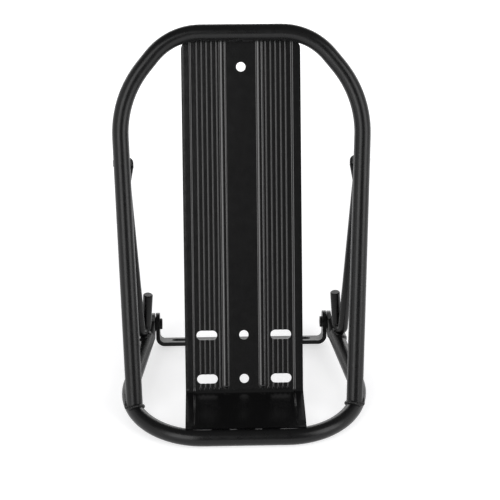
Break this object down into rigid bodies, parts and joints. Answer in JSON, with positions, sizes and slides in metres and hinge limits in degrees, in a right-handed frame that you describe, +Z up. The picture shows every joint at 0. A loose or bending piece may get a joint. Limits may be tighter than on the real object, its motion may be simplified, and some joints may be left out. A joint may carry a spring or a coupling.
{
  "type": "luggage rack",
  "caption": "L-shaped tubular luggage rack with a ribbed back plate, rod braces with short pegs, and a hinged strap that folds and props its rear.",
  "frame": {"origin": "on the floor, under the centre of the bounding box", "axes": "+Z up, -Y toward the front, where the toe of the plate is, +X to the right as seen from the front's viewer"},
  "size_m": [0.248, 0.2068, 0.3529],
  "materials": {
    "black_paint": "semi-gloss black powder coat",
    "strap_paint": "semi-gloss black powder coat",
    "black_bolt": "satin black-oxide steel",
    "black_nylon": "matt",
    "clear_nylon": "matt"
  },
  "bodies": {
    "frame": {"upright_loop": "black_paint", "foot_loop": "black_paint", "ribbed_plate": "black_paint", "left_brace": "black_paint", "right_brace": "black_paint", "left_pivot_bolt": "black_bolt", "right_pivot_bolt": "black_bolt", "left_spacer_washer": "black_nylon", "right_spacer_washer": "black_nylon", "left_nut_washer": "black_bolt", "right_nut_washer": "black_bolt", "left_lock_nut": "black_bolt", "right_lock_nut": "black_bolt", "left_nut_insert": "clear_nylon", "right_nut_insert": "clear_nylon", "left_leg_weld": "black_paint", "right_leg_weld": "black_paint", "left_brace_foot_weld": "black_paint", "right_brace_foot_weld": "black_paint", "left_brace_head_weld": "black_paint", "right_brace_head_weld": "black_paint", "plate_top_welds": "black_paint", "plate_toe_welds": "black_paint"},
    "strap": {"stand_strap": "strap_paint"}
  },
  "joints": [
    {"name": "strap_fold", "type": "hinge", "parent": "frame", "child": "strap", "pos_m": [0, 0.09192, 0.02373], "axis": [1, 0, 0], "range_deg": [-69, 111]}
  ]
}
